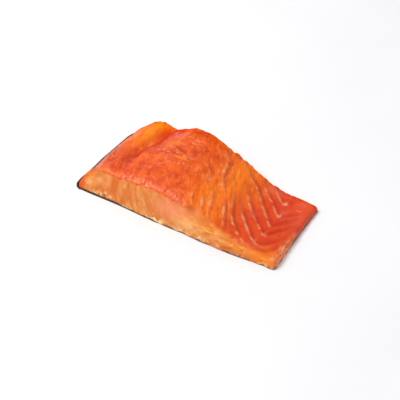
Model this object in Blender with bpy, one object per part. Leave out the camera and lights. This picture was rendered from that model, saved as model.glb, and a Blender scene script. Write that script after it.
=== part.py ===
"""A portion of hot smoked salmon, cut straight across one side of the fish, lying on its skin.

Metres, +Z up. X runs across the side, from the back of the fish at -X to its belly at +X.
Y runs along the fish, from the front cut at -Y to the rear cut at +Y. The origin is at the
middle of the portion, on the surface that the skin lies on."""

import bmesh
import bpy
import numpy as np
from mathutils import noise

MM = 0.001

# Outline seen from above
WIDTH = 192 * MM
BACK_DEPTH = 95 * MM
BELLY_DEPTH = 84.5 * MM
BELLY_TAPER = 7.6 * MM
BELLY_HOLLOW = 0.8 * MM
BELLY_SET_BACK = 3 * MM
SET_BACK_START = 10 * MM
FRONT_BOW = 0.9 * MM
FRONT_BOW_X = 40 * MM
FRONT_BOW_WIDTH = 38 * MM
BACK_BOW = 0.8 * MM
BACK_BOW_PLACE = 0.22
BACK_BOW_WIDTH = 0.16
REAR_CORNER = 4.5 * MM
REAR_CORNER_START = 0.72
BACK_REACH = 40 * MM
FRONT_SHIFT = 0.18 * MM
X_BACK = -WIDTH / 2
X_BELLY = WIDTH / 2
Y_FRONT = -BACK_DEPTH / 2 + FRONT_SHIFT

# Skin, and the roll that it makes round the back edge
SKIN_THICKNESS = 1 * MM
GAP = 0.3 * MM
ROLL_FRONT = 4.4 * MM
ROLL_REAR = 5.7 * MM
ROLL_GROWTH = 0.5
ROLL_TURN = np.radians(120)
ROLL_BLEND = 0.12
RIM_DROP = np.radians(9)
RIM_REAR_DROP = np.radians(26)
RIM_REAR = (0.7, 0.95)
SKIN_PROUD = 0.2 * MM
SKIN_TIP = 1.2 * MM
TIP_FALL = 12
RIM_WAVES = 9
RIM_WAVE_START = 1
FLESH_BOTTOM = SKIN_THICKNESS + GAP

# Height of the top over the surface it lies on:
# distance from the roll, height at the front cut, height at the rear cut
SECTIONS = np.array([
    (0, 6.2, 7.9),
    (4, 13.6, 11.6),
    (10, 20.0, 15.4),
    (22, 24.2, 18.8),
    (36, 24.8, 19.8),
    (48, 25.2, 25.4),
    (60, 26.4, 30.6),
    (72, 27.0, 31.4),
    (86, 26.2, 28.2),
    (102, 23.8, 22.6),
    (120, 18.8, 14.2),
    (140, 13.6, 7.0),
    (160, 10.6, 5.4),
    (178, 9.2, 5.2),
    (190, 8.2, 5.6),
]) * MM

# How the two cuts and the belly end stand
FRONT_LEAN = 0.37
REAR_LEAN = 0.06
FRONT_BULGE = 0.8 * MM
BULGE_FALL = 8
SHOULDER = 4 * MM
FRONT_DROP = 1.3 * MM
REAR_DROP = 1.2 * MM
DROP_START = 14 * MM
DROP_HEIGHT = 20 * MM
CUT_WAVE = 0.35 * MM
FRONT_WAVE_LENGTH = 11 * MM
REAR_WAVE_LENGTH = 15 * MM
BELLY_ROUND = 2 * MM
BELLY_NOSE = 0.35
BELLY_END = 0.97
BELLY_DROP = 1.2 * MM
BELLY_DROP_REAR = 0.8 * MM
BELLY_DROP_RUN = 14 * MM

# Forms of the top: crown, groove between loin and side, lobe beside it
CROWN = 1.6 * MM
CROWN_RUN = (30 * MM, 60 * MM, 100 * MM, 150 * MM)
GROOVE_FRONT = 37 * MM
GROOVE_SHIFT = 1.5 * MM
GROOVE_BOW = 9.5 * MM
GROOVE_WIDTH = 4.6 * MM
GROOVE_DEPTH = 3.2 * MM
GROOVE_ENDS = 0.3
GROOVE_ROUND = 0.8
LOBE_RISE = 2.2 * MM
LOBE_WIDTH = 10 * MM
LOBE_OFFSET = 16 * MM
LOBE_START = 9 * MM
LOBE_SPAN = (0.1, 0.6)

# Seams between flakes and creases of the hump, seen from above, in millimetres: how bright the
# line of fat is, how deep the hollow is, then points from the rear cut to the other end
SEAMS = (
    (0.9, 0.7, (47, 39), (56, 29.5), (64, 23.5), (67.5, 25), (74, 31.5)),
    (0.9, 0.8, (37, 37), (46, 26.5), (57, 18), (69.5, 6), (76.5, 12), (87, 22.5)),
    (0.8, 0.9, (17, 39), (27, 30), (37, 24), (50, 10), (63, -2), (69.5, -8), (74, -5.5), (85.5, 12.5)),
    (0.9, 0.9, (29, 20.5), (39, 9), (49, -2.5), (60.5, -12), (72, -20.5), (77, -17), (88, 2)),
    (0.9, 0.9, (33.5, 3), (43, -8.5), (56, -21.5), (66, -30.5), (75, -33.5), (84, -26), (90.5, -12)),
    (0.9, 0.8, (28, 4), (36, -12), (43.5, -23.5), (53, -32), (63, -38.5)),
    (0.9, 0.7, (25, -5), (33, -19.5), (39.5, -30.5), (44, -39.5)),
    (0.7, 0.5, (14.5, -5), (19.5, -17.5), (25.5, -31.5), (28.5, -37)),
    (0.7, 0.4, (12, -17), (17, -27.5), (21.5, -37.5)),
    (0, 0.6, (70, -41.5), (84, -38), (92.5, -26)),
    (0.9, 0.8, (-44.5, 15.5), (-33, 10.5), (-22, 6.5)),
    (0.5, 0.7, (-41, 4), (-28, 3.5), (-20, 3)),
    (0.7, 0.7, (1, 36), (8.5, 25.5), (11.5, 13.5), (21, -2)),
    (0.5, 0.5, (-7, 12), (2.5, 6.5), (7, -3)),
)
SEAM_STEPS = 4
SEAM_ENDS = (0.3, 0.25)
FAT_END = 3 * MM
SEAM_REACH = 7 * MM
SEAM_CREST = -0.25 * MM
SEAM_WIDTH = 1 * MM
SEAM_RISE = 0.5 * MM
HOLLOW_PLACE = 2 * MM
HOLLOW_WIDTH = 2.2 * MM
HOLLOW_DEPTH = 1 * MM
HOLLOW_AT_ENDS = 0.2

# Broad lumps of the whole top, longer along the grain, and where the seams fade
GRAIN_ACROSS = (0.9, 0.44)
GRAIN_LENGTH = 1.7
LUMP_SIZE = 10 * MM
LUMP_RISE = 1.2 * MM
LUMP_START = 8 * MM
BELLY_LUMP_SHARE = 0.5
BELLY_LUMP_SPAN = (20 * MM, 50 * MM)
FRONT_FADE = 0.05
REAR_FADE = 0.04
BELLY_FADE = 0.985

# Cells of the solids
CELLS_ACROSS = 84
CELLS_ALONG = 46
CELLS_UP = 6
SKIN_FLAT_CELLS = 24
SKIN_ROLL_CELLS = 6
SKIN_ALONG_CELLS = 16
CELL_GROWTH_ACROSS = 0.3
CELL_GROWTH_ALONG = 0.3
TOP_SLOPE_LIMIT = 0.3
TOUCH = 0.001 * MM

# Finishes: linear colour and roughness
FLESH_COLOR = (0.83, 0.15, 0.03)
FLESH_ROUGHNESS = 0.38
FLESH_SHARP = np.radians(50)
SKIN_COLOR = (0.05, 0.035, 0.02)
SKIN_ROUGHNESS = 0.45
SKIN_SHARP = np.radians(40)


def smooth(low, high, value):
    """0 below low, 1 above high, an S curve between them."""
    t = np.clip((value - low) / (high - low), 0, 1)
    return t * t * (3 - 2 * t)


def bell(offset, width):
    """1 in the middle, falling to nothing a few widths away."""
    return np.exp(-(offset / width) ** 2)


def cloud(x, y, z, size):
    """Smooth unevenness between about -1 and 1, with lumps of the given size."""
    return np.array([noise.noise(p) for p in np.stack([x, y, z], axis=-1) / size])


def through(column, x):
    """Smooth curve through one column of the sections."""
    places, heights = SECTIONS[:, 0], SECTIONS[:, column]
    slopes = np.gradient(heights, places)
    i = np.clip(np.searchsorted(places, x) - 1, 0, len(places) - 2)
    step = places[i + 1] - places[i]
    t = (x - places[i]) / step
    start = (2 * t ** 3 - 3 * t ** 2 + 1) * heights[i] + (t ** 3 - 2 * t ** 2 + t) * step * slopes[i]
    end = (3 * t ** 2 - 2 * t ** 3) * heights[i + 1] + (t ** 3 - t ** 2) * step * slopes[i + 1]
    return start + end


def belly_x(v):
    """Belly edge, nearer to the back edge at the rear cut. v runs from front cut to rear cut."""
    return X_BELLY - BELLY_TAPER * v - BELLY_HOLLOW * np.sin(np.pi * v)


def front_y(x):
    """Foot of the front cut."""
    set_back = BELLY_SET_BACK * smooth(SET_BACK_START, X_BELLY, x)
    bow = FRONT_BOW * bell(x - FRONT_BOW_X, FRONT_BOW_WIDTH)
    return Y_FRONT + set_back - bow + CUT_WAVE * np.sin(x / FRONT_WAVE_LENGTH)


def rear_y(x):
    """Foot of the rear cut."""
    share = (x - X_BACK) / WIDTH
    depth = BACK_DEPTH + (BELLY_DEPTH - BACK_DEPTH) * share
    return Y_FRONT + depth + CUT_WAVE * np.sin(x / REAR_WAVE_LENGTH)


def back_turn(x, v):
    """The back edge turns in near the rear cut and is a little hollow near the front cut."""
    corner = REAR_CORNER * smooth(REAR_CORNER_START, 1, v) ** 2
    hollow = BACK_BOW * bell(v - BACK_BOW_PLACE, BACK_BOW_WIDTH)
    return (corner + hollow) * (1 - smooth(X_BACK, X_BACK + BACK_REACH, x))


def lean(v):
    """Run back for each unit of height, from the front cut to the rear cut."""
    return FRONT_LEAN + (REAR_LEAN - FRONT_LEAN) * v


def roll_radius(v):
    """Outside radius of the skin's roll."""
    return ROLL_FRONT + (ROLL_REAR - ROLL_FRONT) * smooth(0, ROLL_GROWTH, v)


def roll_end(v):
    """Where the flesh leaves the roll and the top begins."""
    outer = roll_radius(v)
    return X_BACK + outer - (outer - FLESH_BOTTOM) * np.sin(ROLL_TURN)


def groove_place(v):
    """Distance of the groove from the roll."""
    return GROOVE_FRONT + GROOVE_SHIFT * v - GROOVE_BOW * np.sin(np.pi * v) ** GROOVE_ROUND


def rounded(points):
    """More points along a seam, on a smooth curve through its own."""
    own = np.array(points) * MM
    own = np.vstack([2 * own[0] - own[1], own, 2 * own[-1] - own[-2]])
    finer = []
    for before, here, after, beyond in zip(own, own[1:], own[2:], own[3:]):
        for t in np.arange(SEAM_STEPS) / SEAM_STEPS:
            bend = 2 * before - 5 * here + 4 * after - beyond
            twist = 3 * here - before - 3 * after + beyond
            finer.append(here + 0.5 * t * (after - before + t * (bend + t * twist)))
    return np.array(finer + [own[-2]])


def seam_rows(fat, hollow, *points):
    """Points along one seam with its fat and hollow, which fade at both ends. The fat line stops
    soon after the seam's turn, the point nearest to the front cut."""
    places = rounded(points)
    run = np.cumsum(np.hypot(*np.diff(places, axis=0, prepend=places[:1]).T))
    share = run / run[-1]
    shape = smooth(0, SEAM_ENDS[0], share) * smooth(0, SEAM_ENDS[1], 1 - share)
    past_turn = run - run[np.argmin(places[:, 1])]
    fat_line = fat * smooth(0, SEAM_ENDS[0], share) * smooth(FAT_END, 0, past_turn)
    return np.column_stack([places, fat_line, hollow * (HOLLOW_AT_ENDS + (1 - HOLLOW_AT_ENDS) * shape)])


def seam_field(x, y):
    """Distance past the nearest seam (positive inside its arrowhead), its fat and its hollow."""
    nearest = np.full(len(x), SEAM_REACH)
    past, fat, hollow = nearest.copy(), 0 * x, 0 * x
    for seam in SEAMS:
        rows = seam_rows(*seam)
        close = np.flatnonzero((x > rows[:, 0].min() - SEAM_REACH) & (x < rows[:, 0].max() + SEAM_REACH)
                               & (y > rows[:, 1].min() - SEAM_REACH) & (y < rows[:, 1].max() + SEAM_REACH))
        for start, end in zip(rows, rows[1:]):
            run = end - start
            from_x, from_y = x[close] - start[0], y[close] - start[1]
            share = np.clip((from_x * run[0] + from_y * run[1]) / (run[0] ** 2 + run[1] ** 2), 0, 1)
            off_x, off_y = from_x - share * run[0], from_y - share * run[1]
            distance = np.hypot(off_x, off_y)
            won = distance < nearest[close]
            on = close[won]
            nearest[on] = distance[won]
            past[on] = distance[won] * np.sign(run[0] * off_y - run[1] * off_x)[won]
            fat[on] = start[2] + share[won] * run[2]
            hollow[on] = start[3] + share[won] * run[3]
    return past, np.clip(fat, 0, 1), np.clip(hollow, 0, 1)


def seam_relief(x, y):
    """A fine raised line of fat with a hollow behind it."""
    past, fat, hollow = seam_field(x, y)
    rise = SEAM_RISE * fat * bell(past - SEAM_CREST, SEAM_WIDTH)
    return rise - HOLLOW_DEPTH * hollow * bell(past - HOLLOW_PLACE, HOLLOW_WIDTH)


def top_height(x, v):
    """Broad height of the top at x, between the front cut at v = 0 and the rear cut at v = 1."""
    run = x - roll_end(v)
    front, rear = through(1, run), through(2, run)
    arch = np.sin(np.pi * v)
    height = front + (rear - front) * smooth(0, 1, v)
    height += CROWN * arch * smooth(*CROWN_RUN[:2], run) * (1 - smooth(*CROWN_RUN[2:], run))
    aside = run - groove_place(v)
    groove = bell(aside, GROOVE_WIDTH) * (GROOVE_ENDS + (1 - GROOVE_ENDS) * arch)
    lobe = bell(aside + LOBE_OFFSET, LOBE_WIDTH) * smooth(*LOBE_SPAN, v) * smooth(0, LOBE_START, run)
    height += LOBE_RISE * lobe - GROOVE_DEPTH * groove
    depth = rear_y(x) - front_y(x)
    front_edge = np.clip(1 - v * depth / SHOULDER, 0, 1) ** 2
    rear_edge = np.clip(1 - (1 - v) * depth / SHOULDER, 0, 1) ** 2
    drop = FRONT_DROP * front_edge + REAR_DROP * rear_edge
    height -= drop * smooth(0, DROP_START, run) * height / DROP_HEIGHT
    return height - (BELLY_DROP + BELLY_DROP_REAR * v) * smooth(X_BELLY - BELLY_DROP_RUN, X_BELLY, x) ** 2


def top_relief(x, y, v, run):
    """What stands on the broad form: seams and creases, and broad lumps."""
    inside = smooth(0, FRONT_FADE, v) * smooth(0, REAR_FADE, 1 - v)
    inside *= 1 - smooth(BELLY_FADE, 1, (x - X_BACK) / WIDTH)
    across = GRAIN_ACROSS[0] * x + GRAIN_ACROSS[1] * y
    along = (GRAIN_ACROSS[0] * y - GRAIN_ACROSS[1] * x) / GRAIN_LENGTH
    lumps = cloud(across, along, 0 * x + LUMP_SIZE, LUMP_SIZE)
    lumps *= 1 - BELLY_LUMP_SHARE * smooth(*BELLY_LUMP_SPAN, x)
    return inside * seam_relief(x, y) + LUMP_RISE * lumps * smooth(0, LUMP_START, run)


def flesh_point(s, v, w):
    """Place in the flesh: s from back to belly, v from front cut to rear cut, w from foot to top."""
    belly = belly_x(v) - SKIN_PROUD
    outer = roll_radius(v)
    inner = outer - FLESH_BOTTOM
    roll_x = X_BACK + outer
    roll_top_x = roll_end(v)
    start_z = top_height(roll_top_x, v)
    foot_x = roll_x + (belly - roll_x) * s
    top_x = roll_top_x + (belly - roll_top_x) * s
    top_z = top_height(top_x, v)
    top_y = front_y(top_x) + (rear_y(top_x) - front_y(top_x)) * v + lean(v) * top_z
    top_z = top_z + top_relief(top_x, top_y, v, top_x - roll_top_x)
    x = foot_x + (top_x - foot_x) * w
    z = FLESH_BOTTOM + (top_z - FLESH_BOTTOM) * w
    near_roll = 1 - smooth(0, ROLL_BLEND, s)
    turn = ROLL_TURN * w
    x -= near_roll * (inner * np.sin(turn) + (roll_top_x - roll_x) * w)
    z += near_roll * (outer - inner * np.cos(turn) - FLESH_BOTTOM - (start_z - FLESH_BOTTOM) * w)
    x -= BELLY_ROUND * ((w - BELLY_NOSE) / (1 - BELLY_NOSE)) ** 2 * smooth(BELLY_END, 1, s)
    front = front_y(x) + SKIN_PROUD
    rear = rear_y(x) - SKIN_PROUD
    y = front + (rear - front) * v + lean(v) * z
    y -= FRONT_BULGE * np.sin(np.pi * w) * (1 - v) ** BULGE_FALL
    return np.stack([x + back_turn(x, v), y, z], axis=-1)


def skin_point(q, v, flat_share):
    """Place on the outside of the skin: q from the belly edge to the rim of the roll."""
    flat = np.clip(q / flat_share, 0, 1)
    rolled = np.clip((q - flat_share) / (1 - flat_share), 0, 1)
    wave = (1 + np.sin(RIM_WAVES * v + RIM_WAVE_START)) / 2
    drop = RIM_DROP * wave + RIM_REAR_DROP * smooth(*RIM_REAR, v)
    turn = rolled * (ROLL_TURN - drop)
    outer = roll_radius(v)
    x = belly_x(v) + (X_BACK + outer - belly_x(v)) * flat - outer * np.sin(turn)
    z = outer * (1 - np.cos(turn))
    y = front_y(x) + (rear_y(x) - front_y(x)) * v + lean(v) * z
    y -= SKIN_TIP * np.sin(turn) * (1 - v) ** TIP_FALL
    return np.stack([x + back_turn(x, v), y, z], axis=-1)


def finish_material(name, color, roughness):
    """Principled finish of one sub-part."""
    material = bpy.data.materials.new(name)
    material.use_nodes = True
    shader = material.node_tree.nodes["Principled BSDF"]
    shader.inputs["Base Color"].default_value = (*color, 1)
    shader.inputs["Roughness"].default_value = roughness
    shader.inputs["Metallic"].default_value = 0
    return material


def move_points(mesh, place):
    """Move every point of a unit mesh to its place."""
    points = np.array([vert.co for vert in mesh.verts])
    for vert, target in zip(mesh.verts, place(points)):
        vert.co = target


def add_object(name, mesh, material, sharp_angle):
    """One named object from a bmesh, shaded smooth over its round stretches."""
    data = bpy.data.meshes.new(name)
    mesh.to_mesh(data)
    mesh.free()
    data.materials.append(material)
    data.shade_smooth()
    data.set_sharp_from_angle(angle=sharp_angle)
    part = bpy.data.objects.new(name, data)
    bpy.context.scene.collection.objects.link(part)
    return part


def cell_block():
    """Unit cube cut into cells along each of its axes."""
    mesh = bmesh.new()
    bmesh.ops.create_cube(mesh, size=1)
    for axis, cells in enumerate((CELLS_ACROSS, CELLS_ALONG, CELLS_UP)):
        edges = [e for e in mesh.edges if abs(e.verts[0].co[axis] - e.verts[1].co[axis]) > TOUCH]
        bmesh.ops.subdivide_edges(mesh, edges=edges, cuts=cells - 1, use_grid_fill=True)
    return mesh


def make_flesh():
    """The flesh is one solid, with its lobe, groove, flakes and two cuts."""
    mesh = cell_block()

    def place(points):
        s, v, w = (points + 0.5).T
        s = s * (1 + CELL_GROWTH_ACROSS * (1 - s))
        v = v - CELL_GROWTH_ALONG * np.sin(2 * np.pi * v) / (2 * np.pi)
        return flesh_point(s, v, w)

    move_points(mesh, place)
    mesh.normal_update()
    bottom = [f for f in mesh.faces if all(abs(c.co.z - FLESH_BOTTOM) < TOUCH for c in f.verts)]
    bmesh.ops.dissolve_faces(mesh, faces=bottom, use_verts=False)
    top = [f for f in mesh.faces if f.normal.z > TOP_SLOPE_LIMIT and len(f.verts) == 4]
    bmesh.ops.triangulate(mesh, faces=top, quad_method='SHORT_EDGE')
    bmesh.ops.recalc_face_normals(mesh, faces=mesh.faces)
    finish = finish_material("hot_smoked_flesh", FLESH_COLOR, FLESH_ROUGHNESS)
    return add_object("flesh", mesh, finish, FLESH_SHARP)


def make_skin():
    """The skin lies flat under the flesh and rolls up round the back edge."""
    mesh = bmesh.new()
    cells = SKIN_FLAT_CELLS + SKIN_ROLL_CELLS
    bmesh.ops.create_grid(mesh, x_segments=cells, y_segments=SKIN_ALONG_CELLS, size=0.5)

    def place(points):
        q, v = points[:, 0] + 0.5, points[:, 1] + 0.5
        return skin_point(q, v, SKIN_FLAT_CELLS / cells)

    move_points(mesh, place)
    finish = finish_material("salmon_skin", SKIN_COLOR, SKIN_ROUGHNESS)
    skin = add_object("skin", mesh, finish, SKIN_SHARP)
    wall = skin.modifiers.new("wall", 'SOLIDIFY')
    wall.thickness = SKIN_THICKNESS
    wall.offset = -1
    wall.use_even_offset = True
    return skin


def main():
    for old in list(bpy.data.objects):
        bpy.data.objects.remove(old, do_unlink=True)
    make_flesh()
    make_skin()


main()
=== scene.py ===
"""A portion of hot smoked salmon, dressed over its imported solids.

X runs across the side of the fish, from its back to its belly. Y runs along the fish, from
the front cut to the rear cut. The portion lies on its skin at Z 0."""

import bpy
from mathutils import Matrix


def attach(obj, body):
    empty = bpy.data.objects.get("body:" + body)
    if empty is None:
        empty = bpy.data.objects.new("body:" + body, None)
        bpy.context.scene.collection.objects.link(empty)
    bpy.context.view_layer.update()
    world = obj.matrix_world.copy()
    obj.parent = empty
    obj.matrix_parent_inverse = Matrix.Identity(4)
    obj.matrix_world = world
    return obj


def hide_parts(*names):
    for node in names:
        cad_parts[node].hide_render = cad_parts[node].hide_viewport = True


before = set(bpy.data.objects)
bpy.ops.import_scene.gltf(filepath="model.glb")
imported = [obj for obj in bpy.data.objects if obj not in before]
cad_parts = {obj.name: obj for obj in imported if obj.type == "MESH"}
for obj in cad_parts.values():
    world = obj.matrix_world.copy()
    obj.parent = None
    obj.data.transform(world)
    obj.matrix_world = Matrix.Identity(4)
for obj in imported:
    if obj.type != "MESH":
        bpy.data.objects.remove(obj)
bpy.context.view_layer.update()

import math

import bpy
import numpy as np
from mathutils import Vector, noise

MM = 0.001

# Outline seen from above
WIDTH = 192 * MM
BACK_DEPTH = 95 * MM
BELLY_DEPTH = 84.5 * MM
BELLY_TAPER = 7.6 * MM
BELLY_HOLLOW = 0.8 * MM
BELLY_SET_BACK = 3 * MM
SET_BACK_START = 10 * MM
FRONT_BOW = 0.9 * MM
FRONT_BOW_X = 40 * MM
FRONT_BOW_WIDTH = 38 * MM
BACK_BOW = 0.8 * MM
BACK_BOW_PLACE = 0.22
BACK_BOW_WIDTH = 0.16
REAR_CORNER = 4.5 * MM
REAR_CORNER_START = 0.72
BACK_REACH = 40 * MM
BELLY_CORNER = (1.2 * MM, 0.3 * MM)
BELLY_CORNER_REACH = 5 * MM
FRONT_SHIFT = 0.18 * MM
X_BACK = -WIDTH / 2
X_BELLY = WIDTH / 2
Y_FRONT = -BACK_DEPTH / 2 + FRONT_SHIFT

# Skin, and the roll that it makes round the back edge
SKIN_THICKNESS = 1 * MM
GAP = 0.3 * MM
ROLL_FRONT = 4.4 * MM
ROLL_REAR = 5.7 * MM
ROLL_GROWTH = 0.5
ROLL_TURN = np.radians(120)
ROLL_BLEND = 0.12
RIM_DROP = np.radians(4)
RIM_REAR_DROP = np.radians(26)
RIM_REAR = (0.7, 0.95)
RIM_FLARE = 0.7 * MM
RIM_FLARE_START = 0.6
RIM_FLARE_STRETCH = (0, 0.06, 0.3, 0.5)
SKIN_PROUD = 0.2 * MM
SKIN_TIP = 1.8 * MM
TIP_FALL = 12
RIM_WAVES = 9
RIM_WAVE_START = 1
FLESH_BOTTOM = SKIN_THICKNESS + GAP

# Height of the top over the surface it lies on:
# distance from the roll, height at the front cut, height at the rear cut
SECTIONS = np.array([
    (0, 6.2, 7.9),
    (4, 13.6, 11.6),
    (10, 20.0, 15.4),
    (22, 24.2, 18.8),
    (36, 24.8, 19.8),
    (48, 25.2, 25.4),
    (60, 26.4, 30.6),
    (72, 27.0, 31.4),
    (86, 26.2, 28.2),
    (102, 23.8, 22.6),
    (120, 18.8, 14.2),
    (140, 13.6, 7.0),
    (160, 10.6, 5.4),
    (178, 9.2, 5.2),
    (190, 8.2, 5.6),
]) * MM

# How the two cuts and the belly end stand
FRONT_LEAN = 0.37
REAR_LEAN = 0.06
FRONT_BULGE = 0.8 * MM
BULGE_FALL = 8
SHOULDER = 4 * MM
FRONT_DROP = 1.3 * MM
REAR_DROP = 1.2 * MM
DROP_START = 14 * MM
DROP_HEIGHT = 20 * MM
CUT_WAVE = 0.35 * MM
FRONT_WAVE_LENGTH = 11 * MM
REAR_WAVE_LENGTH = 15 * MM
BELLY_ROUND = 2 * MM
BELLY_NOSE = 0.35
BELLY_END = 0.97
BELLY_DROP = 1.2 * MM
BELLY_DROP_REAR = 0.8 * MM
BELLY_DROP_RUN = 14 * MM

# Forms of the top: crown, groove between loin and side, lobe beside it and the lobe's rear corner
CROWN = 1.6 * MM
CROWN_RUN = (30 * MM, 60 * MM, 100 * MM, 150 * MM)
GROOVE_FRONT = 37 * MM
GROOVE_SHIFT = 1.5 * MM
GROOVE_BOW = 9.5 * MM
GROOVE_WIDTH = 4.6 * MM
GROOVE_DEPTH = 3.2 * MM
GROOVE_ENDS = 0.3
GROOVE_ROUND = 0.8
LOBE_RISE = 2.2 * MM
LOBE_WIDTH = 10 * MM
LOBE_OFFSET = 16 * MM
LOBE_START = 9 * MM
LOBE_SPAN = (0.1, 0.6)
LOBE_CORNER = (8 * MM, 6 * MM)
LOBE_CORNER_RISE = 1.4 * MM
LOBE_CORNER_SPAN = (0.7, 0.95)

# Seams between flakes and creases of the hump, seen from above, in millimetres: how bright the
# line of fat is, how deep the hollow is, then points from the rear cut to the other end
# The hollow's number also sets how strong the painted shade in that hollow is
SEAMS = (
    (0.9, 0.7, (47, 39), (56, 29.5), (64, 23.5), (67.5, 25), (74, 31.5)),
    (0.9, 0.8, (37, 37), (46, 26.5), (57, 18), (69.5, 6), (76.5, 12), (87, 22.5)),
    (0.8, 0.9, (17, 39), (27, 30), (37.8, 24.8), (51.2, 11), (63.6, -1.6), (69.5, -8), (74, -5.5),
     (85.5, 12.5)),
    (0.9, 0.9, (29, 20.5), (39, 9), (49, -2.5), (60.5, -12), (72, -20.5), (77, -17), (88, 2)),
    (0.5, 0.9, (33.5, 3), (43, -8.5), (56, -21.5), (66, -30.5), (75, -33.5), (84, -26), (90.5, -12)),
    (0.75, 0.8, (28, 4), (36, -12), (43.5, -23.5), (53, -32), (63, -38.5)),
    (0.75, 0.7, (25, -5), (33, -19.5), (39.5, -30.5), (44, -39.5)),
    (0.6, 0.5, (14.5, -5), (19.5, -17.5), (25.5, -31.5), (28.5, -37)),
    (0.6, 0.4, (12, -17), (17, -27.5), (21.5, -37.5)),
    (0, 0.6, (70, -41.5), (84, -38), (92.5, -26)),
    (0.9, 0.8, (-44.5, 15.5), (-33, 10.5), (-22, 6.5)),
    (0.5, 0.7, (-41, 4), (-28, 3.5), (-20, 3)),
    (0.7, 0.7, (1, 36), (8.5, 25.5), (11.5, 13.5), (21, -2)),
    (0.5, 0.5, (-7, 12), (2.5, 6.5), (7, -3)),
)
SEAM_STEPS = 4
SEAM_ENDS = (0.3, 0.25)
FAT_END = 0.8 * MM
SEAM_REACH = 7 * MM
SEAM_CREST = -0.25 * MM
SEAM_WIDTH = 1 * MM
SEAM_RISE = 0.5 * MM
HOLLOW_PLACE = 2 * MM
HOLLOW_WIDTH = 2.2 * MM
HOLLOW_DEPTH = 1 * MM
HOLLOW_AT_ENDS = 0.2
SEAM_WANDER = (0.45 * MM, 5 * MM)

# Lumps, wrinkles and crumbs of the top: size and height, and for lumps their share on the belly
GRAIN_ACROSS = (0.9, 0.44)
GRAIN_LENGTH = 1.7
LUMPS = ((10 * MM, 1.2 * MM, 0.5), (3.6 * MM, 0.5 * MM, 0.4), (1.6 * MM, 0.15 * MM, 0))
LUMP_START = 8 * MM
BELLY_LUMP_SPAN = (20 * MM, 50 * MM)
FRONT_FADE = 0.05
REAR_FADE = 0.04
BELLY_FADE = 0.985
CREASE_SPACING = 7 * MM
CREASE_LENGTH = 3
CREASE_SLANT = 0.35
CREASE_SHIFT = 0.1
CREASE_BREAKS = (0, 0.3)
CREASE_SHARPNESS = 0.1
CREASE_DEPTH = 0.5 * MM
CREASE_END = (-5 * MM, 15 * MM)
RIM_CRUMBS = ((4 * MM, 0.8 * MM), (1.9 * MM, 0.6 * MM))
RIM_DEPTH = 0.085
RIM_TINT_DEPTH = 0.16
RIM_STRETCH = (-64 * MM, -50 * MM, 0 * MM, 16 * MM)
RIM_PATCH = (66 * MM, 13 * MM)
RIM_PATCH_SHARE = 0.7
REAR_NOTCH = (5 * MM, 2.2 * MM)
REAR_NOTCH_SHARE = 0.3
REAR_NOTCH_START = 0.88
REAR_NOTCH_STRETCH = (-12 * MM, 4 * MM, 56 * MM, 72 * MM)

# Flakes of the front cut: they stand up at the back edge and fan out towards the belly
FAN_START = -60 * MM
FAN_END = -15 * MM
FAN_SLOPE = 1.3
CUT_STEPS = ((6 * MM, 0.6 * MM), (2 * MM, 0.3 * MM))
ALONG_FLAKES = 0.45
FOOT_LUMP = (4.5 * MM, 1.3 * MM)
UP_LUMPS = 0.5
CUT_EDGES = 0.6
SAG_START = (-58 * MM, -45 * MM)
SAG_LUMP = 6 * MM
SAG_SPAN = (-0.45, 0.1)
SAG_OUT = 0.6 * MM
SAG_FOOT = 0.5
SAG_LOWEST = 0.45 * MM
SAG_ROWS = 5

# Lumps of the belly end
BELLY_END_LUMPS = (4 * MM, 0.7 * MM)

# Where each tint of the flesh lies: in X, from the front cut 0 to the rear cut 1, from the foot 0
# to the top 1, beside the groove or past the roll. A SPAN says where something starts and where it
# is full, a WAVER how far its edge strays and over what size. The other pairs are place and width.
LINE_WIDTH = 1.1 * MM
LINE_FAINT_SPAN = (0, -10 * MM)
LINE_FAINT = 0.6
WARM_LOBE = (-13 * MM, 8 * MM)
WARM_LOBE_SPAN = (0.3, 0.85)
DEEP_GROOVE = (1 * MM, 5 * MM)
DEEP_BELLY_SPAN = (36 * MM, 60 * MM)
DEEP_HUMP = (12 * MM, 8 * MM)
DEEP_HUMP_SPAN = (0.45, 0.8)
DEEP_SHARES = (0.7, 0.6, 0.6)
SLOPE = (20 * MM, 17 * MM)
REAR_EDGE_SPAN = (0.97, 1)
TOP_EDGE_SPAN = (0.9, 1)

# Where the flesh has the colour of a cut, which laps over the rim past the hump and at the back
# edge, how much of the top's colour the belly end has, and the reddish flank beside the cut
WALL_SPAN = (0.99, 0.94)
WALL_RAGGED = 0.04
WALL_RAGGED_SIZE = 3 * MM
LAP_SPAN = (0.05, 0.01)
LAP_WAVER = (0.03, 4 * MM)
LAP_PAST_HUMP_SPAN = (5 * MM, 20 * MM)
LAP_BELLY_SPAN = (52 * MM, 64 * MM)
LAP_BELLY_LOSS = 0.6
LAP_BACK_SPAN = (-64 * MM, -76 * MM)
LAP_BACK = 0.7
LAP = 0.8
BELLY_TINT_SPAN = (0.985, 1)
BELLY_TINT_REAR_SPAN = (0.3, 0.6)
BELLY_TINT_FRONT = 0.8
FLANK_SPAN = (-86 * MM, -91 * MM)
FLANK_WAVER = (2 * MM, 4 * MM)
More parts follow.
